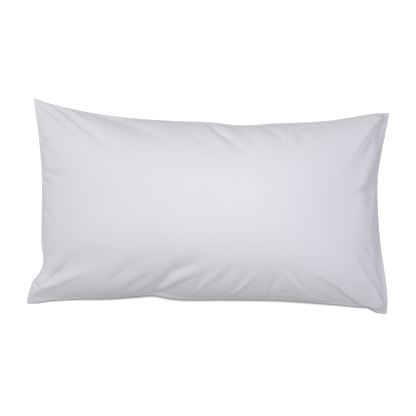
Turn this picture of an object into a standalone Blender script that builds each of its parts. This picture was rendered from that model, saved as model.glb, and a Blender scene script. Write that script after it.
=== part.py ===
"""A long pillowcase filled with its pillow, lying on its back on a flat surface.

The case is one length of cotton, turned and sewn into a flat bag of CASE_LENGTH x CASE_WIDTH. The
filling rounds it into a crown, draws its four seams in, and leaves the corners as thin, creased ears.
It is one closed solid: a front panel and a back panel that meet at the seam.

Metres, +Z up. +X runs along the case, +Y to its far long seam. The origin is in the middle of the
case's footprint, on the surface that it lies on.
"""

from collections import namedtuple

import bmesh
import bpy
import numpy as np

# Sizes of the sewn case, laid flat and empty, and the share of each that the seams' puckers take up
CASE_LENGTH = 0.91
CASE_WIDTH = 0.51
PUCKERED_ALONG = 0.03
PUCKERED_ACROSS = 0.02

# How the filled case lies
CROWN_RISE = 0.089  # from the sheet that spans the seams up to the top of the crown
BELLY_DROP = 0.115  # how far the back would hang below that sheet if nothing held it up
SIDE_LIFT = 0.046  # height of the seam at the middle of a side
TIP_LIFT = 0.011  # height of the seam at a corner's tip
SEAM_THICKNESS = 0.0024  # the turned seam, edge to edge
SETTLE = 0.007  # the back rounds off into its flat over this height
REST_DISH = 0.0003  # the middle of that flat stands this much above its four corners
REST_LENGTH = 0.60  # along X, between those corners
REST_DEPTH = 0.26  # along Y, between those corners
FOLD_DEPTH = 0.6  # the share of the filling's depth that a trough can sink to
EDGE_DEPTH = 0.004  # where the filling is thinner than this, folds flatten into the seam

# The crown across the case and along it: (1 - s ** flatness) ** fullness, with s from 0 in the
# middle to 1 at the seam. More flatness widens the middle, and less fullness steepens the sides.
CROWN_ALONG = {"flatness": 2.5, "fullness": 0.66}
CROWN_ACROSS = {"flatness": 2.1, "fullness": 0.64}

# The front panel's mesh. Its lines stand closer together towards the seams, where the cloth is
# creased. The back panel has a half of its columns and rows.
COLUMNS = 100
ROWS = 44
CROWDING_ALONG = 0.15
CROWDING_ACROSS = 0.55

# Where the four corners lie: near those of the puckered case, each shifted by its own few millimetres
Corner = namedtuple("Corner", "x y")
HALF_LENGTH = CASE_LENGTH * (1 - PUCKERED_ALONG) / 2
HALF_WIDTH = CASE_WIDTH * (1 - PUCKERED_ACROSS) / 2
FAR_LEFT = Corner(-HALF_LENGTH + 0.006, HALF_WIDTH + 0.0165)
FAR_RIGHT = Corner(HALF_LENGTH + 0.006, HALF_WIDTH - 0.0210)
NEAR_RIGHT = Corner(HALF_LENGTH - 0.005, -HALF_WIDTH - 0.0165)
NEAR_LEFT = Corner(-HALF_LENGTH - 0.006, -HALF_WIDTH + 0.0090)

# Each seam, from corner to corner: the share of the way along, and how far it is drawn in there
Draw = namedtuple("Draw", "along inset")
FAR_SEAM = [
    Draw(0.00, 0.0000),
    Draw(0.04, 0.0110),
    Draw(0.12, 0.0268),
    Draw(0.20, 0.0380),
    Draw(0.29, 0.0444),
    Draw(0.41, 0.0468),
    Draw(0.50, 0.0464),
    Draw(0.58, 0.0511),
    Draw(0.66, 0.0438),
    Draw(0.75, 0.0368),
    Draw(0.83, 0.0282),
    Draw(0.92, 0.0110),
    Draw(0.96, 0.0033),
    Draw(1.00, 0.0000),
]
NEAR_SEAM = [
    Draw(0.00, 0.0000),
    Draw(0.024, 0.0007),
    Draw(0.06, 0.0067),
    Draw(0.13, 0.0132),
    Draw(0.22, 0.0172),
    Draw(0.30, 0.0242),
    Draw(0.35, 0.0287),
    Draw(0.40, 0.0226),
    Draw(0.55, 0.0238),
    Draw(0.70, 0.0255),
    Draw(0.80, 0.0218),
    Draw(0.92, 0.0142),
    Draw(0.95, 0.0115),
    Draw(0.97, 0.0028),
    Draw(1.00, 0.0000),
]
LEFT_SEAM = [
    Draw(0.00, 0.0000),
    Draw(0.04, 0.0043),
    Draw(0.08, 0.0107),
    Draw(0.115, 0.0185),
    Draw(0.13, 0.0264),
    Draw(0.16, 0.0358),
    Draw(0.20, 0.0409),
    Draw(0.27, 0.0364),
    Draw(0.44, 0.0341),
    Draw(0.61, 0.0311),
    Draw(0.73, 0.0250),
    Draw(0.85, 0.0155),
    Draw(0.93, 0.0072),
    Draw(1.00, 0.0000),
]
RIGHT_SEAM = [
    Draw(0.00, 0.0000),
    Draw(0.06, 0.0005),
    Draw(0.12, 0.0038),
    Draw(0.23, 0.0134),
    Draw(0.35, 0.0230),
    Draw(0.47, 0.0287),
    Draw(0.60, 0.0316),
    Draw(0.70, 0.0295),
    Draw(0.77, 0.0240),
    Draw(0.89, 0.0118),
    Draw(1.00, 0.0000),
]

# The main folds, each a ridge (height above 0) or a trough (below 0) from its root to where it dies
# out, through a middle point, in plan. left and right are its widths on either side of that line,
# going from the root; a small one makes that side a sharp drop. hold is the share of its height that
# it has at the root.
Fold = namedtuple("Fold", "root middle end height left right hold")
FRONT_FOLDS = [
    # far left ear: two long pulls run from the tip into the crown, with a hollow above them
    Fold((-0.424, 0.258), (-0.365, 0.206), (-0.282, 0.132), -0.0045, 0.010, 0.010, 0.6),
    Fold((-0.383, 0.251), (-0.292, 0.177), (-0.179, 0.076), -0.0065, 0.012, 0.012, 0.6),
    Fold((-0.368, 0.247), (-0.303, 0.196), (-0.231, 0.130), 0.0030, 0.016, 0.009, 0.4),
    Fold((-0.297, 0.234), (-0.222, 0.208), (-0.102, 0.147), -0.0044, 0.010, 0.022, 0.5),
    Fold((-0.236, 0.208), (-0.151, 0.171), (-0.050, 0.111), -0.0036, 0.014, 0.018, 0.5),
    # left seam: short notches
    Fold((-0.416, 0.153), (-0.402, 0.148), (-0.375, 0.143), -0.0060, 0.010, 0.016, 1.0),
    Fold((-0.402, 0.141), (-0.380, 0.119), (-0.348, 0.078), -0.0024, 0.010, 0.016, 0.8),
    Fold((-0.404, 0.080), (-0.373, 0.065), (-0.332, 0.050), -0.0055, 0.011, 0.009, 0.9),
    # far seam: pulls beside its deepest notch, and smaller ones to the right
    Fold((-0.042, 0.169), (0.006, 0.133), (0.062, 0.092), -0.0018, 0.016, 0.014, 0.5),
    Fold((-0.009, 0.204), (0.041, 0.156), (0.111, 0.094), -0.0062, 0.011, 0.010, 0.7),
    Fold((0.002, 0.195), (0.053, 0.159), (0.118, 0.102), 0.0020, 0.013, 0.009, 0.5),
    Fold((0.051, 0.196), (0.084, 0.163), (0.126, 0.128), -0.0018, 0.013, 0.010, 0.3),
    Fold((0.127, 0.197), (0.145, 0.176), (0.174, 0.147), -0.0032, 0.009, 0.009, 1.0),
    Fold((0.154, 0.173), (0.172, 0.149), (0.195, 0.113), -0.0018, 0.010, 0.010, 0.7),
    Fold((0.206, 0.182), (0.223, 0.155), (0.245, 0.119), -0.0018, 0.013, 0.012, 0.7),
    # far right ear: the crown turns down along a clear edge, beside a soft pull
    Fold((0.446, 0.230), (0.395, 0.177), (0.338, 0.097), 0.0085, 0.022, 0.034, 0.8),
    Fold((0.421, 0.206), (0.368, 0.146), (0.302, 0.047), 0.0034, 0.009, 0.026, 0.7),
    Fold((0.399, 0.158), (0.380, 0.119), (0.334, 0.058), -0.0026, 0.010, 0.009, 0.6),
    # right end: the crown drops steeply to the seam, along a long edge, with creases that leave it
    Fold((0.402, 0.116), (0.367, -0.003), (0.377, -0.176), 0.0062, 0.021, 0.028, 0.5),
    Fold((0.403, 0.028), (0.389, -0.055), (0.395, -0.147), 0.0026, 0.009, 0.016, 0.5),
    Fold((0.406, 0.040), (0.374, 0.027), (0.308, -0.037), -0.0062, 0.026, 0.009, 0.3),
    Fold((0.408, 0.087), (0.392, 0.054), (0.378, 0.021), -0.0040, 0.028, 0.009, 0.7),
    Fold((0.394, -0.127), (0.380, -0.104), (0.359, -0.066), -0.0022, 0.009, 0.009, 0.7),
    # near right ear: an edge down to the tip, and the crown lapping over the near side
    Fold((0.436, -0.263), (0.377, -0.174), (0.313, -0.086), 0.0062, 0.060, 0.009, 0.8),
    Fold((0.391, -0.254), (0.309, -0.202), (0.222, -0.148), 0.0070, 0.009, 0.065, 0.8),
    Fold((0.378, -0.255), (0.307, -0.211), (0.237, -0.171), -0.0030, 0.022, 0.009, 0.7),
    # near seam: a row of slanting pulls that lean away from one tall ridge
    Fold((0.222, -0.213), (0.191, -0.183), (0.153, -0.141), 0.0026, 0.010, 0.009, 0.6),
    Fold((0.230, -0.208), (0.200, -0.177), (0.165, -0.135), -0.0020, 0.009, 0.009, 0.7),
    Fold((0.146, -0.204), (0.161, -0.183), (0.182, -0.153), -0.0016, 0.011, 0.014, 0.8),
    Fold((0.048, -0.214), (0.082, -0.187), (0.129, -0.141), -0.0024, 0.010, 0.009, 0.6),
    Fold((0.055, -0.219), (0.093, -0.191), (0.143, -0.142), 0.0024, 0.009, 0.009, 0.5),
    Fold((0.067, -0.220), (0.102, -0.193), (0.151, -0.149), -0.0020, 0.009, 0.020, 0.6),
    Fold((0.019, -0.191), (0.046, -0.168), (0.080, -0.136), -0.0022, 0.009, 0.022, 0.7),
    Fold((-0.031, -0.219), (0.001, -0.186), (0.063, -0.132), 0.0020, 0.009, 0.009, 0.5),
    Fold((-0.026, -0.202), (-0.005, -0.174), (0.033, -0.144), -0.0030, 0.012, 0.010, 0.7),
    Fold((-0.137, -0.217), (-0.075, -0.188), (0.021, -0.124), 0.0030, 0.014, 0.009, 0.45),
    Fold((-0.126, -0.221), (-0.069, -0.200), (0.014, -0.160), -0.0060, 0.009, 0.028, 0.5),
    Fold((-0.133, -0.222), (-0.074, -0.166), (0.030, -0.116), -0.0090, 0.016, 0.017, 0.5),
    Fold((-0.166, -0.216), (-0.136, -0.198), (-0.095, -0.176), -0.0026, 0.009, 0.010, 0.7),
    Fold((-0.202, -0.210), (-0.155, -0.183), (-0.092, -0.155), -0.0034, 0.010, 0.014, 0.6),
    Fold((-0.232, -0.182), (-0.186, -0.155), (-0.126, -0.117), -0.0040, 0.015, 0.028, 0.6),
    # near left ear: a short deep trough beside a lip, and a long edge that runs in from the tip
    Fold((-0.412, -0.181), (-0.386, -0.154), (-0.332, -0.101), 0.0036, 0.016, 0.010, 0.6),
    Fold((-0.392, -0.190), (-0.367, -0.167), (-0.312, -0.114), -0.0110, 0.009, 0.016, 0.5),
    Fold((-0.435, -0.227), (-0.359, -0.187), (-0.174, -0.127), 0.0050, 0.010, 0.024, 0.7),
    Fold((-0.438, -0.235), (-0.360, -0.204), (-0.199, -0.146), -0.0030, 0.010, 0.030, 0.8),
]
BACK_FOLDS = [
    Fold((-0.414, 0.246), (-0.370, 0.212), (-0.330, 0.180), -0.0040, 0.010, 0.010, 0.6),
    Fold((0.428, 0.210), (0.385, 0.172), (0.350, 0.140), -0.0040, 0.010, 0.010, 0.6),
    Fold((0.424, -0.246), (0.380, -0.205), (0.345, -0.170), -0.0040, 0.010, 0.010, 0.6),
    Fold((-0.426, -0.222), (-0.385, -0.190), (-0.350, -0.160), -0.0040, 0.010, 0.010, 0.6),
]
FOLD_STEPS = 16  # straight pieces that a fold's bent line is measured along
FADE_IN = 0.3  # the share of a fold over which it rises from its root
FADE_OUT = 0.6  # and the share over which it dies out
FANNING = 0.3  # how much wider than the table says a fold is at its end, and narrower at its root
FOLDS_TURN = 0.15  # the x at which the folds of either long side turn to lean the other way
SLOPE_STEP = 0.003  # the step in u and v that a panel's slope is measured over

COTTON_WHITE = (0.80, 0.80, 0.83, 1.0)
COTTON_ROUGHNESS = 0.75


def clear_scene():
    for obj in list(bpy.data.objects):
        bpy.data.objects.remove(obj)


def smooth_step(share):
    share = np.clip(share, 0.0, 1.0)
    return share * share * (3.0 - 2.0 * share)


def curve_through(rows, at):
    """The inset at each share of a seam, on a cubic curve through the table's rows."""
    along, inset = (np.array(column) for column in zip(*rows))
    slope = np.gradient(inset, along)
    i = np.clip(np.searchsorted(along, at) - 1, 0, len(along) - 2)
    span = along[i + 1] - along[i]
    t = (at - along[i]) / span
    return (
        (1 + 2 * t) * (1 - t) ** 2 * inset[i]
        + t * (1 - t) ** 2 * span * slope[i]
        + t**2 * (3 - 2 * t) * inset[i + 1]
        - t**2 * (1 - t) * span * slope[i + 1]
    )


def seam_points(rows, start, end, inward, at):
    """Points of one seam: on the line between its corners, drawn in by the table, tips drooping."""
    height = TIP_LIFT + (SIDE_LIFT - TIP_LIFT) * (1 - np.abs(2 * at - 1) ** 3)
    drawn_in = curve_through(rows, at)
    return np.stack(
        [
            start.x + (end.x - start.x) * at + inward[0] * drawn_in,
            start.y + (end.y - start.y) * at + inward[1] * drawn_in,
            height,
        ],
        axis=-1,
    )


def spanning_sheet(u, v):
    """The Coons patch that spans the four seams; u runs along the case and v across it, 0 to 1."""
    near = seam_points(NEAR_SEAM, NEAR_LEFT, NEAR_RIGHT, (0, 1), u)
    far = seam_points(FAR_SEAM, FAR_LEFT, FAR_RIGHT, (0, -1), u)
    left = seam_points(LEFT_SEAM, NEAR_LEFT, FAR_LEFT, (1, 0), v)
    right = seam_points(RIGHT_SEAM, NEAR_RIGHT, FAR_RIGHT, (-1, 0), v)
    u, v = u[..., None], v[..., None]
    corners = (
        (1 - u) * (1 - v) * np.array([*NEAR_LEFT, TIP_LIFT])
        + u * (1 - v) * np.array([*NEAR_RIGHT, TIP_LIFT])
        + (1 - u) * v * np.array([*FAR_LEFT, TIP_LIFT])
        + u * v * np.array([*FAR_RIGHT, TIP_LIFT])
    )
    return (1 - v) * near + v * far + (1 - u) * left + u * right - corners


def crown(share, flatness, fullness):
    return (1 - np.abs(2 * share - 1) ** flatness) ** fullness


def filling(u, v):
    """How full the case is, from 0 at the seam to 1 in the middle."""
    return crown(u, **CROWN_ALONG) * crown(v, **CROWN_ACROSS)


def smooth_panel(u, v, depth):
    """A panel before its folds: above the spanning sheet where depth is positive, and below it."""
    points = spanning_sheet(u, v)
    points[..., 2] += depth * filling(u, v) + np.sign(depth) * SEAM_THICKNESS / 2
    return points


def slope(u, v, depth, along_u, along_v):
    """How a smooth panel runs on from each place, in the given direction of u and v."""
    ahead = smooth_panel(np.minimum(u + along_u, 1), np.minimum(v + along_v, 1), depth)
    behind = smooth_panel(np.maximum(u - along_u, 0), np.maximum(v - along_v, 0), depth)
    return ahead - behind


def normals(u, v, depth):
    """Outward normals of a smooth panel."""
    along = slope(u, v, depth, SLOPE_STEP, 0)
    across = slope(u, v, depth, 0, SLOPE_STEP)
    normal = np.cross(along, across) * np.sign(depth)
    return normal / np.linalg.norm(normal, axis=-1, keepdims=True)


def fold_relief(fold, x, y):
    """The fold's height at each point (x, y)."""
    t = np.linspace(0, 1, FOLD_STEPS + 1)[:, None]
    root, middle, end = (np.array(point) for point in (fold.root, fold.middle, fold.end))
    bend = 2 * middle - (root + end) / 2
    line = (1 - t) ** 2 * root + 2 * t * (1 - t) * bend + t**2 * end
    points = np.stack([x, y], axis=-1)
    nearest = np.full(x.shape, np.inf)
    side = np.zeros(x.shape)
    share = np.zeros(x.shape)
    for i, (a, b) in enumerate(zip(line, line[1:])):
        way = b - a
        along = np.clip((points - a) @ way / (way @ way), 0, 1)
        off = points - (a + along[..., None] * way)
        distance = np.hypot(off[..., 0], off[..., 1])
        closer = distance < nearest
        nearest = np.where(closer, distance, nearest)
        side = np.where(closer, way[0] * off[..., 1] - way[1] * off[..., 0], side)
        share = np.where(closer, (i + along) / FOLD_STEPS, share)
    width = np.where(side > 0, fold.left, fold.right) * (1 + FANNING * (2 * share - 1))
    strength = fold.hold + (1 - fold.hold) * smooth_step(share / FADE_IN)
    fade = smooth_step((1 - share) / FADE_OUT)
    return fold.height * strength * fade * np.exp(-((nearest / width) ** 2))


def rest_on_surface(points):
    """The heights of points that rest: what hangs lower is flat, and rounds off into that flat.

    The flat is a hair higher in its middle, so that the case stands firmly on its four corners.
    """
    cornerwise = points[:, 0] * points[:, 1] / (REST_LENGTH / 2 * REST_DEPTH / 2)
    flat = REST_DISH * (1 - cornerwise ** 2)
    over = points[:, 2] - flat
    rounded = (over + SETTLE) ** 2 / (4 * SETTLE)
    return flat + np.where(over > SETTLE, over, np.where(over > -SETTLE, rounded, 0.0))


def folded_panel(u, v, depth, folds):
    """A panel's final points: the smooth panel, moved along its normals by its folds."""
    points = smooth_panel(u, v, depth)
    room = np.abs(depth) * filling(u, v)
    relief = sum(fold_relief(fold, points[..., 0], points[..., 1]) for fold in folds)
    relief = np.maximum(relief, -FOLD_DEPTH * room) * smooth_step(room / EDGE_DEPTH)
    return points + relief[..., None] * normals(u, v, depth)


def crowded(place, crowding):
    """Moves a grid line's place, from -1 to 1, towards the nearer seam, and returns it as 0 to 1."""
    moved = (1 - crowding) * place + crowding * np.sin(np.pi / 2 * place)
    return (moved + 1) / 2


def add_grid(mesh, columns, rows):
    """Adds a grid to the mesh, and returns its vertices with their u and v."""
    grid = bmesh.ops.create_grid(mesh, x_segments=columns, y_segments=rows, size=1.0)["verts"]
    places = np.array([vert.co[:2] for vert in grid])
    return grid, crowded(places[:, 0], CROWDING_ALONG), crowded(places[:, 1], CROWDING_ACROSS)


def move(verts, points):
    for vert, point in zip(verts, points):
        vert.co = point


def split_along_folds(mesh):
    """Splits each face along the diagonal that the folds of its quarter of the case run in."""
    rising = [face for face in mesh.faces if leans_right(face.calc_center_median())]
    bmesh.ops.triangulate(mesh, faces=rising, quad_method="FIXED")
    falling = [face for face in mesh.faces if len(face.verts) == 4]
    bmesh.ops.triangulate(mesh, faces=falling, quad_method="ALTERNATE")


def leans_right(place):
    """Whether the folds around a place run up to the right, as seen from above."""
    return (place.x < FOLDS_TURN) == (place.y < 0)


def build_case():
    """Front and back panels as one closed mesh, centred over its footprint and resting at 0."""
    mesh = bmesh.new()
    front, u, v = add_grid(mesh, COLUMNS, ROWS)
    front_points = folded_panel(u, v, CROWN_RISE, FRONT_FOLDS)
    back, u, v = add_grid(mesh, COLUMNS // 2, ROWS // 2)
    back_points = folded_panel(u, v, -BELLY_DROP, BACK_FOLDS)
    back_points[:, 2] = rest_on_surface(back_points)

    everything = np.concatenate([front_points, back_points])
    middle = (everything.max(axis=0) + everything.min(axis=0)) / 2
    middle[2] = everything[:, 2].min()
    move(front, front_points - middle)
    move(back, back_points - middle)

    back_faces = list({face for vert in back for face in vert.link_faces})
    bmesh.ops.reverse_faces(mesh, faces=back_faces)
    rims = [edge for edge in mesh.edges if edge.is_boundary]
    bmesh.ops.bridge_loops(mesh, edges=rims)
    bmesh.ops.recalc_face_normals(mesh, faces=mesh.faces)
    split_along_folds(mesh)
    data = bpy.data.meshes.new("pillowcase")
    mesh.to_mesh(data)
    mesh.free()
    data.shade_smooth()
    return data


def cotton():
    material = bpy.data.materials.new("white_cotton")
    material.use_nodes = True
    shader = material.node_tree.nodes["Principled BSDF"]
    shader.inputs["Base Color"].default_value = COTTON_WHITE
    shader.inputs["Roughness"].default_value = COTTON_ROUGHNESS
    shader.inputs["Metallic"].default_value = 0.0
    return material


def main():
    clear_scene()
    collection = bpy.data.collections.new("filled_pillowcase")
    bpy.context.scene.collection.children.link(collection)
    case = bpy.data.objects.new("pillowcase", build_case())
    case.data.materials.append(cotton())
    collection.objects.link(case)


main()
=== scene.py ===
"""The look of a white cotton pillowcase, filled with its pillow and lying on its back.

The case is one closed mesh, much finer than the CAD solid that it replaces. It has the same seams
and main folds, and adds the turned edge, fine creases, puckers along the seams and the weave.
Metres, in the frame of the CAD.
"""

import math
from collections import namedtuple

import bmesh
import bpy
import numpy as np
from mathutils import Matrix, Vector


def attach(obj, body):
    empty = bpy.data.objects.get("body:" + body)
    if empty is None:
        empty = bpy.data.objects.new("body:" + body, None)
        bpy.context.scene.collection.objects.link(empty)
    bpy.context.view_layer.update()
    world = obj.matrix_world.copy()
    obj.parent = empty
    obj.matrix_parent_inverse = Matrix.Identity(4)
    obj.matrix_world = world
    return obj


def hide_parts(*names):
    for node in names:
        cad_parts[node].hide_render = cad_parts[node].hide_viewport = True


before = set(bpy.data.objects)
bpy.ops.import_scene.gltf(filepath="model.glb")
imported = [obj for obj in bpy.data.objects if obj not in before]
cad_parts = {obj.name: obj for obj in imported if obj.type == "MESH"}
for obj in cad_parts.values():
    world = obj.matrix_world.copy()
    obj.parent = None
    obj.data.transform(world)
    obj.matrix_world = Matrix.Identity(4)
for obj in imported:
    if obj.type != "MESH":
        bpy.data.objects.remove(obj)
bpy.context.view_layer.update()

# ---------------------------------------------------------------- sizes

CASE_LENGTH = 0.91  # as cut and sewn, before it is filled
CASE_WIDTH = 0.51
PUCKERED_ALONG = 0.03  # the share of the length that the puckers take up
PUCKERED_ACROSS = 0.02
CROWN_RISE = 0.089  # of the front's middle, above the sheet that spans the seams
BELLY_DROP = 0.115  # how far the back would hang below that sheet if nothing held it up
SIDE_LIFT = 0.046  # of the middle of each seam, above the surface
TIP_LIFT = 0.011  # of the tip of each corner
TIP_DROOP = 3.0  # how close to its tips a seam begins to droop
SETTLE = 0.007  # the back rounds off into its flat over this height
CROWN_ALONG = {"flatness": 2.5, "fullness": 0.66}
CROWN_ACROSS = {"flatness": 2.1, "fullness": 0.64}

EDGE_WIDTH = 0.0038  # the turned seam that runs around the case as a flat edge
EDGE_THICKNESS = 0.0024
EDGE_ROUNDING = 0.0012  # over this width the edge thins to its rim
RIM_THICKNESS = 0.0008
FOLD_DEPTH = 0.65  # the share of its panel's rise or drop that a trough may go down
EDGE_DEPTH = 0.005  # where the panel has risen this much, its folds have their full height

COLUMNS = 440  # faces along the front panel, and rows of them across it
ROWS = 184
BACK_SHARE = 4  # the back panel has one column and one row for this many of the front's
CROWDING_ALONG = 0.35  # how much closer together they are at the seams
CROWDING_ACROSS = 0.55

# ---------------------------------------------------------------- seams

Corner = namedtuple("Corner", "x y")
HALF_LENGTH = CASE_LENGTH * (1 - PUCKERED_ALONG) / 2
HALF_WIDTH = CASE_WIDTH * (1 - PUCKERED_ACROSS) / 2
FAR_LEFT = Corner(-HALF_LENGTH + 0.006, HALF_WIDTH + 0.0165)
FAR_RIGHT = Corner(HALF_LENGTH + 0.006, HALF_WIDTH - 0.0210)
NEAR_RIGHT = Corner(HALF_LENGTH - 0.005, -HALF_WIDTH - 0.0165)
NEAR_LEFT = Corner(-HALF_LENGTH - 0.006, -HALF_WIDTH + 0.0090)

# Each seam, from corner to corner: the share of the way along, and how far it is drawn in there
Draw = namedtuple("Draw", "along inset")
FAR_SEAM = [
    Draw(0.00, 0.0000),
    Draw(0.04, 0.0110),
    Draw(0.12, 0.0268),
    Draw(0.20, 0.0380),
    Draw(0.29, 0.0444),
    Draw(0.41, 0.0468),
    Draw(0.50, 0.0464),
    Draw(0.58, 0.0511),
    Draw(0.66, 0.0438),
    Draw(0.75, 0.0368),
    Draw(0.83, 0.0282),
    Draw(0.92, 0.0110),
    Draw(0.96, 0.0033),
    Draw(1.00, 0.0000),
]
NEAR_SEAM = [
    Draw(0.00, 0.0000),
    Draw(0.024, 0.0007),
    Draw(0.06, 0.0067),
    Draw(0.13, 0.0132),
    Draw(0.22, 0.0172),
    Draw(0.30, 0.0242),
    Draw(0.35, 0.0287),
    Draw(0.40, 0.0226),
    Draw(0.55, 0.0238),
    Draw(0.70, 0.0255),
    Draw(0.80, 0.0218),
    Draw(0.92, 0.0142),
    Draw(0.95, 0.0115),
    Draw(0.97, 0.0028),
    Draw(1.00, 0.0000),
]
LEFT_SEAM = [
    Draw(0.00, 0.0000),
    Draw(0.04, 0.0043),
    Draw(0.08, 0.0107),
    Draw(0.115, 0.0185),
    Draw(0.13, 0.0264),
    Draw(0.16, 0.0358),
    Draw(0.20, 0.0409),
    Draw(0.27, 0.0364),
    Draw(0.44, 0.0341),
    Draw(0.61, 0.0311),
    Draw(0.73, 0.0250),
    Draw(0.85, 0.0155),
    Draw(0.93, 0.0072),
    Draw(1.00, 0.0000),
]
RIGHT_SEAM = [
    Draw(0.00, 0.0000),
    Draw(0.06, 0.0005),
    Draw(0.12, 0.0038),
    Draw(0.23, 0.0134),
    Draw(0.35, 0.0230),
    Draw(0.47, 0.0287),
    Draw(0.60, 0.0316),
    Draw(0.70, 0.0295),
    Draw(0.77, 0.0240),
    Draw(0.89, 0.0118),
    Draw(1.00, 0.0000),
]

# ---------------------------------------------------------------- folds

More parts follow.
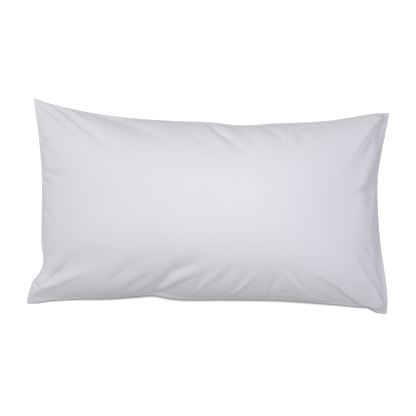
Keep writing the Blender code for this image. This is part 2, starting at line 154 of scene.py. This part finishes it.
# Each fold is a ridge (height above 0) or a trough (below 0) from its root to where it dies out,
# through a middle point, in plan. left and right are its widths on either side of that line, going
# from the root. hold is the share of its height at the root. pinch is 2 for a soft round fold, less
# for a crease, down to 1, and more for a flat-bottomed one.
Fold = namedtuple("Fold", "root middle end height left right hold pinch")
FRONT_FOLDS = [
    # far left ear: two long pulls from the tip, each a crease beside a ridge, and a hollow above
    Fold((-0.424, 0.258), (-0.365, 0.206), (-0.282, 0.132), -0.0070, 0.0060, 0.0065, 0.70, 1.8),
    Fold((-0.383, 0.251), (-0.292, 0.177), (-0.179, 0.076), -0.0085, 0.0090, 0.0100, 0.70, 1.8),
    Fold((-0.368, 0.247), (-0.303, 0.196), (-0.231, 0.130), 0.0026, 0.0160, 0.0050, 0.40, 1.6),
    Fold((-0.297, 0.234), (-0.222, 0.208), (-0.102, 0.147), -0.0044, 0.0080, 0.0220, 0.50, 2.0),
    Fold((-0.327, 0.232), (-0.312, 0.220), (-0.292, 0.209), -0.0030, 0.0050, 0.0050, 1.00, 1.8),
    Fold((-0.236, 0.208), (-0.151, 0.171), (-0.050, 0.111), -0.0036, 0.0140, 0.0180, 0.50, 2.0),
    # left seam: short notches and facets
    Fold((-0.419, 0.161), (-0.408, 0.159), (-0.393, 0.154), -0.0040, 0.0045, 0.0080, 1.00, 2.4),
    Fold((-0.402, 0.141), (-0.380, 0.119), (-0.348, 0.078), -0.0024, 0.0100, 0.0160, 0.80, 2.0),
    Fold((-0.404, 0.080), (-0.373, 0.065), (-0.332, 0.050), -0.0055, 0.0110, 0.0060, 0.90, 1.8),
    Fold((-0.407, 0.060), (-0.398, 0.055), (-0.381, 0.046), -0.0060, 0.0050, 0.0050, 1.00, 1.6),
    Fold((-0.403, 0.041), (-0.392, 0.042), (-0.378, 0.046), -0.0014, 0.0040, 0.0040, 1.00, 1.8),
    Fold((-0.373, -0.015), (-0.344, -0.002), (-0.311, 0.014), -0.0012, 0.0070, 0.0090, 0.50, 2.0),
    Fold((-0.400, -0.018), (-0.386, -0.026), (-0.367, -0.037), -0.0020, 0.0070, 0.0080, 0.80, 2.0),
    Fold((-0.405, -0.073), (-0.394, -0.081), (-0.381, -0.089), -0.0020, 0.0060, 0.0070, 1.00, 1.8),
    Fold((-0.407, -0.095), (-0.400, -0.099), (-0.389, -0.105), -0.0040, 0.0050, 0.0050, 1.00, 1.6),
    # far seam: pulls beside its deepest notch, and smaller ones to the right
    Fold((-0.042, 0.169), (0.006, 0.133), (0.062, 0.092), -0.0018, 0.0160, 0.0140, 0.50, 2.0),
    Fold((-0.009, 0.204), (0.041, 0.156), (0.111, 0.094), -0.0062, 0.0110, 0.0090, 0.70, 1.8),
    Fold((0.002, 0.195), (0.053, 0.159), (0.118, 0.102), 0.0012, 0.0130, 0.0070, 0.50, 1.6),
    Fold((0.051, 0.196), (0.084, 0.163), (0.126, 0.128), -0.0018, 0.0130, 0.0100, 0.30, 2.0),
    Fold((0.127, 0.197), (0.146, 0.175), (0.177, 0.145), -0.0032, 0.0090, 0.0080, 1.00, 2.0),
    Fold((0.098, 0.160), (0.119, 0.139), (0.149, 0.107), -0.0014, 0.0100, 0.0100, 0.60, 2.0),
    Fold((0.154, 0.173), (0.172, 0.149), (0.195, 0.113), -0.0018, 0.0100, 0.0100, 0.70, 2.0),
    Fold((0.206, 0.182), (0.223, 0.155), (0.245, 0.119), -0.0018, 0.0130, 0.0120, 0.70, 2.0),
    Fold((0.221, 0.184), (0.270, 0.193), (0.326, 0.204), -0.0018, 0.0050, 0.0100, 0.60, 2.0),
    # far right ear: the crown turns down along a clear edge, beside a soft pull
    Fold((0.446, 0.230), (0.395, 0.177), (0.338, 0.097), 0.0085, 0.0220, 0.0340, 0.80, 1.3),
    Fold((0.421, 0.206), (0.368, 0.146), (0.302, 0.047), 0.0034, 0.0050, 0.0260, 0.70, 1.1),
    Fold((0.399, 0.158), (0.380, 0.119), (0.334, 0.058), -0.0026, 0.0100, 0.0090, 0.60, 2.0),
    # right end: the crown drops steeply to the seam, along a long edge, with creases that leave it
    Fold((0.402, 0.116), (0.367, -0.003), (0.377, -0.176), 0.0062, 0.0210, 0.0280, 0.50, 1.8),
    Fold((0.403, 0.028), (0.389, -0.055), (0.395, -0.147), 0.0026, 0.0080, 0.0160, 0.50, 1.3),
    Fold((0.406, 0.036), (0.374, 0.025), (0.311, -0.032), -0.0056, 0.0200, 0.0100, 0.30, 1.8),
    Fold((0.400, 0.015), (0.378, -0.002), (0.346, -0.023), -0.0018, 0.0120, 0.0060, 0.70, 2.0),
    Fold((0.408, 0.082), (0.396, 0.054), (0.383, 0.027), -0.0012, 0.0200, 0.0120, 0.80, 2.0),
    Fold((0.394, -0.127), (0.380, -0.104), (0.359, -0.066), -0.0022, 0.0070, 0.0090, 0.70, 2.0),
    Fold((0.413, -0.182), (0.407, -0.151), (0.398, -0.118), -0.0014, 0.0070, 0.0070, 0.70, 2.0),
    Fold((0.431, -0.228), (0.415, -0.141), (0.407, -0.069), -0.0036, 0.0100, 0.0120, 0.70, 2.0),
    Fold((0.444, 0.223), (0.420, 0.172), (0.404, 0.126), -0.0034, 0.0120, 0.0100, 0.40, 2.0),
    # near right ear: an edge down to the tip, and the crown lapping over the near side
    Fold((0.436, -0.263), (0.377, -0.174), (0.313, -0.086), 0.0062, 0.0600, 0.0060, 0.80, 1.1),
    Fold((0.435, -0.255), (0.415, -0.213), (0.382, -0.156), -0.0026, 0.0050, 0.0080, 0.50, 1.8),
    Fold((0.391, -0.254), (0.309, -0.202), (0.222, -0.148), 0.0056, 0.0050, 0.0650, 0.80, 1.1),
    Fold((0.378, -0.255), (0.307, -0.211), (0.237, -0.171), -0.0024, 0.0220, 0.0050, 0.70, 1.6),
    # near seam: a row of slanting pulls that lean away from one tall ridge
    Fold((0.313, -0.240), (0.247, -0.217), (0.176, -0.185), -0.0012, 0.0070, 0.0090, 0.70, 2.0),
    Fold((0.173, -0.214), (0.188, -0.221), (0.205, -0.228), -0.0014, 0.0060, 0.0060, 0.70, 2.0),
    Fold((0.222, -0.213), (0.191, -0.183), (0.153, -0.141), 0.0022, 0.0100, 0.0060, 0.60, 1.6),
    Fold((0.230, -0.208), (0.200, -0.177), (0.165, -0.135), -0.0022, 0.0050, 0.0080, 0.70, 1.8),
    Fold((0.146, -0.204), (0.161, -0.183), (0.182, -0.153), -0.0024, 0.0110, 0.0120, 0.80, 2.0),
    Fold((0.048, -0.214), (0.082, -0.187), (0.129, -0.141), -0.0020, 0.0100, 0.0080, 0.60, 1.8),
    Fold((0.055, -0.219), (0.093, -0.191), (0.143, -0.142), 0.0016, 0.0050, 0.0060, 0.50, 1.2),
    Fold((0.067, -0.220), (0.102, -0.193), (0.151, -0.149), -0.0016, 0.0060, 0.0200, 0.60, 2.0),
    Fold((0.019, -0.191), (0.046, -0.168), (0.080, -0.136), -0.0020, 0.0090, 0.0220, 0.70, 2.0),
    Fold((-0.008, -0.204), (0.022, -0.182), (0.065, -0.149), -0.0014, 0.0080, 0.0120, 0.60, 2.0),
    Fold((-0.031, -0.219), (0.001, -0.186), (0.063, -0.132), 0.0011, 0.0080, 0.0060, 0.50, 1.2),
    Fold((-0.026, -0.202), (-0.005, -0.174), (0.033, -0.144), -0.0026, 0.0120, 0.0100, 0.70, 2.0),
    Fold((-0.137, -0.217), (-0.075, -0.188), (0.021, -0.124), 0.0018, 0.0140, 0.0040, 0.45, 1.1),
    Fold((-0.126, -0.221), (-0.069, -0.200), (0.014, -0.160), -0.0060, 0.0060, 0.0280, 0.50, 1.8),
    Fold((-0.133, -0.222), (-0.074, -0.167), (0.030, -0.116), -0.0092, 0.0170, 0.0180, 0.50, 1.8),
    Fold((-0.166, -0.216), (-0.136, -0.198), (-0.095, -0.176), -0.0024, 0.0070, 0.0100, 0.70, 2.0),
    Fold((-0.202, -0.210), (-0.155, -0.183), (-0.092, -0.155), -0.0032, 0.0100, 0.0140, 0.60, 2.0),
    Fold((-0.232, -0.182), (-0.186, -0.155), (-0.126, -0.117), -0.0040, 0.0150, 0.0280, 0.60, 2.0),
    # near left ear: a short deep trough beside a lip, and a long one that runs in from the tip
    Fold((-0.412, -0.181), (-0.386, -0.154), (-0.332, -0.101), 0.0038, 0.0160, 0.0090, 0.60, 2.0),
    Fold((-0.392, -0.190), (-0.367, -0.167), (-0.312, -0.114), -0.0125, 0.0080, 0.0140, 0.50, 2.0),
    Fold((-0.435, -0.227), (-0.359, -0.187), (-0.174, -0.127), 0.0048, 0.0075, 0.0240, 0.70, 1.3),
    Fold((-0.438, -0.235), (-0.360, -0.204), (-0.199, -0.146), -0.0030, 0.0100, 0.0300, 0.80, 1.8),
    Fold((-0.422, -0.190), (-0.418, -0.202), (-0.412, -0.214), -0.0022, 0.0045, 0.0040, 0.60, 2.0),
]
BACK_FOLDS = [
    Fold((-0.414, 0.246), (-0.370, 0.212), (-0.330, 0.180), -0.0027, 0.0080, 0.0080, 0.60, 1.6),
    Fold((0.428, 0.210), (0.385, 0.172), (0.350, 0.140), -0.0027, 0.0080, 0.0080, 0.60, 1.6),
    Fold((0.424, -0.246), (0.380, -0.205), (0.345, -0.170), -0.0027, 0.0080, 0.0080, 0.60, 1.6),
    Fold((-0.426, -0.222), (-0.385, -0.190), (-0.350, -0.160), -0.0027, 0.0080, 0.0080, 0.60, 1.6),
]
FOLD_STEPS = 16  # straight pieces along a fold's curve
FOLD_REACH = 4  # how many of its widths away a fold is still worked out
FADE_IN = 0.3  # the share of a fold over which it rises from its root
FADE_OUT = 0.6  # and the share over which it dies out
FANNING = 0.5  # how much wider than the table says a fold is at its end, and narrower at its root
SLOPE_STEP = 0.003  # the share of the case over which its slope is taken

# Uneven cloth: how large its waves are, and how high, in metres
FOLD_WANDER = {"size": 0.100, "height": 0.0015, "seed": 3}
LUMPS = {"size": 0.160, "height": 0.0005, "seed": 7}
RIPPLES = {"size": 0.035, "height": 0.00005, "seed": 11}
PUCKERS = {"size": 0.014, "height": 0.0004, "seed": 19}
PUCKER_REACH = 0.012  # how far in from the seams the puckers fade
WAVE_COUNT = 40
SHORTEST_WAVE = 0.7  # as a share of its size in the table
LONGEST_WAVE = 1.5

# ---------------------------------------------------------------- cloth

COTTON_TONES = ((0.735, 0.735, 0.765, 1.0), (0.765, 0.762, 0.790, 1.0))
COTTON_ROUGHNESS = 0.8
COTTON_SPECULAR = 0.3
SHEEN_WEIGHT = 0.15
SHEEN_ROUGHNESS = 0.5

# Uneven textures, in noise scales of the case's own frame
Grain = namedtuple("Grain", "scale detail roughness")
TONE_GRAIN = Grain(5.0, 3.0, 0.5)  # between the two tones
SLUB_GRAIN = Grain(160.0, 4.0, 0.5)  # thick places in the yarn
CREASE_GRAIN = Grain(28.0, 5.0, 0.55)  # faint creases left from the press
YARN_SCALE = 500.0
YARN_DETAIL = 1.0
YARN_WAVINESS = 0.6

# How strongly each layer of bump shows, and how deep it is
Bump = namedtuple("Bump", "strength depth")
YARN_BUMP = Bump(0.25, 0.00012)
SLUB_BUMP = Bump(0.35, 0.0004)
CREASE_BUMP = Bump(0.3, 0.0004)

# ---------------------------------------------------------------- picture

VIEW_TARGET = Vector((-0.0024, -0.0085, 0.030))
VIEW_DISTANCE = 3.0
VIEW_ELEVATION = math.radians(86)
VIEW_WIDTH = 1.019  # how much of the floor the picture takes in, side to side

# Soft lights that fall on the case alone: where each is, how wide, and how bright it makes a white
# sheet at the origin that faces it, in red, green and blue
Softbox = namedtuple("Softbox", "name place size strength")
SOFTBOXES = [
    Softbox("left_softbox", (-1.2, 1.0, 2.2), 0.9, (0.247, 0.250, 0.250)),
    Softbox("low_left_softbox", (-2.1, 0.0, 0.6), 1.2, (0.075, 0.083, 0.086)),
    Softbox("right_softbox", (0.5, 0.0, 1.3), 0.9, (0.142, 0.163, 0.233)),
    Softbox("low_near_softbox", (1.4, -1.8, 0.5), 1.2, (0.034, 0.029, 0.028)),
    Softbox("low_far_softbox", (0.0, 2.0, 0.5), 1.2, (0.036, 0.036, 0.036)),
    Softbox("top_softbox", (0.1, 0.0, 1.0), 0.4, (0.151, 0.138, 0.099)),
]
ROOM_LIGHT = (0.456, 0.442, 0.445)  # from all around

FLOOR_SIZE = 30.0
FLOOR_COLOUR = (0.65, 0.65, 0.65, 1.0)
BACKGROUND_FROM = (-0.014, 0.12, 1.0)  # the way from the floor to its own light
BACKGROUND_SOFTNESS = math.radians(12)  # how wide that light looks from the floor
BACKGROUND_STRENGTH = 1.45  # how bright it makes a white floor


def smooth_step(share):
    share = np.clip(share, 0.0, 1.0)
    return share * share * (3.0 - 2.0 * share)


def curve_through(rows, at):
    """The inset at each share of a seam, on a cubic curve through the table's rows."""
    along, inset = (np.array(column) for column in zip(*rows))
    slope = np.gradient(inset, along)
    i = np.clip(np.searchsorted(along, at) - 1, 0, len(along) - 2)
    span = along[i + 1] - along[i]
    t = (at - along[i]) / span
    return (
        (1 + 2 * t) * (1 - t) ** 2 * inset[i]
        + t * (1 - t) ** 2 * span * slope[i]
        + t**2 * (3 - 2 * t) * inset[i + 1]
        - t**2 * (1 - t) * span * slope[i + 1]
    )


def seam_points(rows, start, end, inward, at):
    """Points of one seam: on the line between its corners, drawn in by the table, tips drooping."""
    height = TIP_LIFT + (SIDE_LIFT - TIP_LIFT) * (1 - np.abs(2 * at - 1) ** TIP_DROOP)
    drawn_in = curve_through(rows, at)
    return np.stack(
        [
            start.x + (end.x - start.x) * at + inward[0] * drawn_in,
            start.y + (end.y - start.y) * at + inward[1] * drawn_in,
            height,
        ],
        axis=-1,
    )


def spanning_sheet(u, v):
    """The Coons patch that spans the four seams; u runs along the case and v across it, 0 to 1."""
    near = seam_points(NEAR_SEAM, NEAR_LEFT, NEAR_RIGHT, (0, 1), u)
    far = seam_points(FAR_SEAM, FAR_LEFT, FAR_RIGHT, (0, -1), u)
    left = seam_points(LEFT_SEAM, NEAR_LEFT, FAR_LEFT, (1, 0), v)
    right = seam_points(RIGHT_SEAM, NEAR_RIGHT, FAR_RIGHT, (-1, 0), v)
    u, v = u[..., None], v[..., None]
    corners = (
        (1 - u) * (1 - v) * np.array([*NEAR_LEFT, TIP_LIFT])
        + u * (1 - v) * np.array([*NEAR_RIGHT, TIP_LIFT])
        + (1 - u) * v * np.array([*FAR_LEFT, TIP_LIFT])
        + u * v * np.array([*FAR_RIGHT, TIP_LIFT])
    )
    return (1 - v) * near + v * far + (1 - u) * left + u * right - corners


def crown(share, length, flatness, fullness):
    """The crown's share of its height, from 0 where the turned edge ends to 1 in the middle."""
    from_middle = np.abs(2 * share - 1) / (1 - 2 * EDGE_WIDTH / length)
    return (1 - np.minimum(from_middle, 1) ** flatness) ** fullness


def filling(u, v):
    """How full the case is, from 0 along the turned edge to 1 in the middle."""
    return crown(u, CASE_LENGTH, **CROWN_ALONG) * crown(v, CASE_WIDTH, **CROWN_ACROSS)


def edge_distance(u, v):
    """How far a place is from the nearest seam, on the flat cloth."""
    along = np.minimum(u, 1 - u) * CASE_LENGTH
    across = np.minimum(v, 1 - v) * CASE_WIDTH
    return np.minimum(along, across)


def edge_thickness(u, v):
    """The turned edge's thickness: rounded off towards its rim."""
    inside = np.clip(edge_distance(u, v) / EDGE_ROUNDING, 0, 1)
    rounding = np.sqrt(1 - (1 - inside) ** 2)
    return RIM_THICKNESS + (EDGE_THICKNESS - RIM_THICKNESS) * rounding


def smooth_panel(u, v, depth):
    """A panel before its folds: above the spanning sheet where depth is positive, and below it."""
    points = spanning_sheet(u, v)
    points[..., 2] += depth * filling(u, v) + np.sign(depth) * edge_thickness(u, v) / 2
    return points


def slope(u, v, depth, along_u, along_v):
    """How a smooth panel runs on from each place, in the given direction of u and v."""
    ahead = smooth_panel(np.minimum(u + along_u, 1), np.minimum(v + along_v, 1), depth)
    behind = smooth_panel(np.maximum(u - along_u, 0), np.maximum(v - along_v, 0), depth)
    return ahead - behind


def normals(u, v, depth):
    """Outward normals of a smooth panel."""
    along = slope(u, v, depth, SLOPE_STEP, 0)
    across = slope(u, v, depth, 0, SLOPE_STEP)
    normal = np.cross(along, across) * np.sign(depth)
    return normal / np.linalg.norm(normal, axis=-1, keepdims=True)


def waves(places, size, height, seed):
    """An uneven surface over places in plan: many waves of about one size, in all directions."""
    random = np.random.default_rng(seed)
    total = np.zeros(places.shape[:-1])
    for _ in range(WAVE_COUNT):
        angle = random.uniform(0, 2 * np.pi)
        length = size * random.uniform(SHORTEST_WAVE, LONGEST_WAVE)
        phase = random.uniform(0, 2 * np.pi)
        way = np.array([np.cos(angle), np.sin(angle)]) * 2 * np.pi / length
        total += np.sin(places @ way + phase)
    return height * total / math.sqrt(WAVE_COUNT / 2)


def fold_relief(fold, places):
    """The fold's height at each place."""
    t = np.linspace(0, 1, FOLD_STEPS + 1)[:, None]
    root, middle, end = (np.array(point) for point in (fold.root, fold.middle, fold.end))
    bend = 2 * middle - (root + end) / 2
    line = (1 - t) ** 2 * root + 2 * t * (1 - t) * bend + t**2 * end
    reach = FOLD_REACH * max(fold.left, fold.right)
    low, high = line.min(axis=0) - reach, line.max(axis=0) + reach
    near = ((places > low) & (places < high)).all(axis=-1)
    points = places[near]
    nearest = np.full(len(points), np.inf)
    side = np.zeros(len(points))
    share = np.zeros(len(points))
    for i, (a, b) in enumerate(zip(line, line[1:])):
        way = b - a
        along = np.clip((points - a) @ way / (way @ way), 0, 1)
        off = points - (a + along[:, None] * way)
        distance = np.hypot(off[:, 0], off[:, 1])
        closer = distance < nearest
        nearest = np.where(closer, distance, nearest)
        side = np.where(closer, way[0] * off[:, 1] - way[1] * off[:, 0], side)
        share = np.where(closer, (i + along) / FOLD_STEPS, share)
    width = np.where(side > 0, fold.left, fold.right) * (1 + FANNING * (2 * share - 1))
    strength = fold.hold + (1 - fold.hold) * smooth_step(share / FADE_IN)
    fade = smooth_step((1 - share) / FADE_OUT)
    relief = np.zeros(places.shape[:-1])
    relief[near] = fold.height * strength * fade * np.exp(-((nearest / width) ** fold.pinch))
    return relief


def rest_on_surface(z):
    """Nothing goes below the surface: what would is flat on it, and rounds off into that flat."""
    rounded = (z + SETTLE) ** 2 / (4 * SETTLE)
    return np.where(z > SETTLE, z, np.where(z > -SETTLE, rounded, 0.0))


def folded_panel(u, v, depth, folds):
    """A panel's final points: the smooth panel, moved along its normals by all that creases it."""
    points = smooth_panel(u, v, depth)
    places = points[..., :2]
    wandering = places + np.stack(
        [
            waves(places, **FOLD_WANDER),
            waves(places[..., ::-1], **FOLD_WANDER),
        ],
        axis=-1,
    )
    room = np.abs(depth) * filling(u, v)
    relief = sum(fold_relief(fold, wandering) for fold in folds)
    relief = relief + waves(places, **LUMPS) + waves(places, **RIPPLES)
    relief = relief + waves(places, **PUCKERS) * np.exp(-edge_distance(u, v) / PUCKER_REACH)
    relief = np.maximum(relief, -FOLD_DEPTH * room) * smooth_step(room / EDGE_DEPTH)
    return points + relief[..., None] * normals(u, v, depth)


def crowded(place, crowding):
    """Moves a grid line, from -1 to 1, towards the nearer seam, and returns its place as 0 to 1."""
    moved = (1 - crowding) * place + crowding * np.sin(np.pi / 2 * place)
    return (moved + 1) / 2


def add_grid(mesh, columns, rows):
    """Adds a grid to the mesh, and returns its vertices with their u and v."""
    grid = bmesh.ops.create_grid(mesh, x_segments=columns, y_segments=rows, size=1.0)["verts"]
    places = np.array([vert.co[:2] for vert in grid])
    return grid, crowded(places[:, 0], CROWDING_ALONG), crowded(places[:, 1], CROWDING_ACROSS)


def move(verts, points):
    for vert, point in zip(verts, points):
        vert.co = point


def build_case():
    """Front and back panels as one closed mesh."""
    mesh = bmesh.new()
    front, u, v = add_grid(mesh, COLUMNS, ROWS)
    move(front, folded_panel(u, v, CROWN_RISE, FRONT_FOLDS))
    back, u, v = add_grid(mesh, COLUMNS // BACK_SHARE, ROWS // BACK_SHARE)
    back_points = folded_panel(u, v, -BELLY_DROP, BACK_FOLDS)
    back_points[:, 2] = rest_on_surface(back_points[:, 2])
    move(back, back_points)
    back_faces = list({face for vert in back for face in vert.link_faces})
    bmesh.ops.reverse_faces(mesh, faces=back_faces)
    rims = [edge for edge in mesh.edges if edge.is_boundary]
    bmesh.ops.bridge_loops(mesh, edges=rims)
    bmesh.ops.recalc_face_normals(mesh, faces=mesh.faces)
    data = bpy.data.meshes.new("cotton_case")
    mesh.to_mesh(data)
    mesh.free()
    data.shade_smooth()
    case = bpy.data.objects.new("cotton_case", data)
    bpy.context.scene.collection.objects.link(case)
    return case


# ---------------------------------------------------------------- material


def cotton():
    """White woven cotton: a fine plain weave, uneven yarns, faint creases and a soft sheen."""
    material = bpy.data.materials.new("white_cotton_weave")
    material.use_nodes = True
    nodes = material.node_tree.nodes
    link = material.node_tree.links.new
    shader = nodes["Principled BSDF"]
    place = nodes.new("ShaderNodeTexCoord").outputs["Object"]

    colour = nodes.new("ShaderNodeMix")
    colour.data_type = "RGBA"
    colour.inputs["A"].default_value, colour.inputs["B"].default_value = COTTON_TONES
    link(add_grain(material, place, TONE_GRAIN), colour.inputs["Factor"])
    link(colour.outputs["Result"], shader.inputs["Base Color"])

    bump = None
    for direction in ("X", "Y"):
        bump = add_bump(material, add_yarn(material, place, direction), YARN_BUMP, bump)
    bump = add_bump(material, add_grain(material, place, SLUB_GRAIN), SLUB_BUMP, bump)
    bump = add_bump(material, add_grain(material, place, CREASE_GRAIN), CREASE_BUMP, bump)
    link(bump, shader.inputs["Normal"])

    shader.inputs["Roughness"].default_value = COTTON_ROUGHNESS
    shader.inputs["Specular IOR Level"].default_value = COTTON_SPECULAR
    shader.inputs["Sheen Weight"].default_value = SHEEN_WEIGHT
    shader.inputs["Sheen Roughness"].default_value = SHEEN_ROUGHNESS
    return material


def add_grain(material, place, grain):
    """Adds an uneven texture to the material, and returns its output."""
    noise = material.node_tree.nodes.new("ShaderNodeTexNoise")
    noise.inputs["Scale"].default_value = grain.scale
    noise.inputs["Detail"].default_value = grain.detail
    noise.inputs["Roughness"].default_value = grain.roughness
    material.node_tree.links.new(place, noise.inputs["Vector"])
    return noise.outputs["Fac"]


def add_yarn(material, place, direction):
    """Adds the yarns that follow each other in one direction, and returns their output."""
    yarn = material.node_tree.nodes.new("ShaderNodeTexWave")
    yarn.wave_type = "BANDS"
    yarn.bands_direction = direction
    yarn.inputs["Scale"].default_value = YARN_SCALE
    yarn.inputs["Distortion"].default_value = YARN_WAVINESS
    yarn.inputs["Detail"].default_value = YARN_DETAIL
    material.node_tree.links.new(place, yarn.inputs["Vector"])
    return yarn.outputs["Fac"]


def add_bump(material, height, bump, under):
    """Adds one layer of bump over the normal from the layer under it, if there is one."""
    layer = material.node_tree.nodes.new("ShaderNodeBump")
    layer.inputs["Strength"].default_value = bump.strength
    layer.inputs["Distance"].default_value = bump.depth
    material.node_tree.links.new(height, layer.inputs["Height"])
    if under is not None:
        material.node_tree.links.new(under, layer.inputs["Normal"])
    return layer.outputs["Normal"]


# ---------------------------------------------------------------- studio


def add_floor():
    """Plain pale paper: it has a light of its own, and throws none back up onto the case."""
    bpy.ops.mesh.primitive_plane_add(size=FLOOR_SIZE, location=(0, 0, 0))
    floor = bpy.context.object
    floor.name = "floor"
    floor.visible_diffuse = False
    material = bpy.data.materials.new("pale_floor")
    material.use_nodes = True
    shader = material.node_tree.nodes["Principled BSDF"]
    shader.inputs["Base Color"].default_value = FLOOR_COLOUR
    shader.inputs["Roughness"].default_value = 1.0
    shader.inputs["Specular IOR Level"].default_value = 0.0
    floor.data.materials.append(material)
    return floor


def add_softbox(softbox, piece):
    """A square soft light that faces the origin and falls on the piece alone."""
    data = bpy.data.lights.new(softbox.name, "AREA")
    data.size = softbox.size
    data.energy = math.pi**2 * Vector(softbox.place).length_squared
    data.color = softbox.strength
    light = bpy.data.objects.new(softbox.name, data)
    light.location = softbox.place
    light.rotation_euler = (-light.location).to_track_quat("-Z", "Y").to_euler()
    bpy.context.scene.collection.objects.link(light)
    light_only(light, piece)


def light_only(light, piece):
    """Makes the light fall on the piece alone."""
    pieces = bpy.data.collections.new(light.name + "_lit")
    pieces.objects.link(piece)
    light.light_linking.receiver_collection = pieces


def add_background_light(floor):
    """A wide soft light, alike all over the floor, from almost straight above the case."""
    data = bpy.data.lights.new("background_light", "SUN")
    data.angle = BACKGROUND_SOFTNESS
    data.energy = math.pi * BACKGROUND_STRENGTH
    light = bpy.data.objects.new("background_light", data)
    light.rotation_euler = Vector(BACKGROUND_FROM).to_track_quat("Z", "Y").to_euler()
    bpy.context.scene.collection.objects.link(light)
    light_only(light, floor)


def add_room_light():
    world = bpy.data.worlds.new("studio")
    world.use_nodes = True
    world.node_tree.nodes["Background"].inputs["Color"].default_value = (*ROOM_LIGHT, 1.0)
    bpy.context.scene.world = world


def add_camera():
    data = bpy.data.cameras.new("camera")
    data.angle = 2 * math.atan(VIEW_WIDTH / 2 / VIEW_DISTANCE)
    camera = bpy.data.objects.new("camera", data)
    back = Vector((0, -math.cos(VIEW_ELEVATION), math.sin(VIEW_ELEVATION)))
    camera.location = VIEW_TARGET + VIEW_DISTANCE * back
    camera.rotation_euler = (-back).to_track_quat("-Z", "Y").to_euler()
    bpy.context.scene.collection.objects.link(camera)
    bpy.context.scene.camera = camera


def main():
    case = build_case()
    case.data.materials.append(cotton())
    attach(case, "root")
    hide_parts("pillowcase")

    floor = add_floor()
    for softbox in SOFTBOXES:
        add_softbox(softbox, case)
    add_background_light(floor)
    add_room_light()
    add_camera()
    bpy.context.scene.view_settings.view_transform = "Standard"


main()
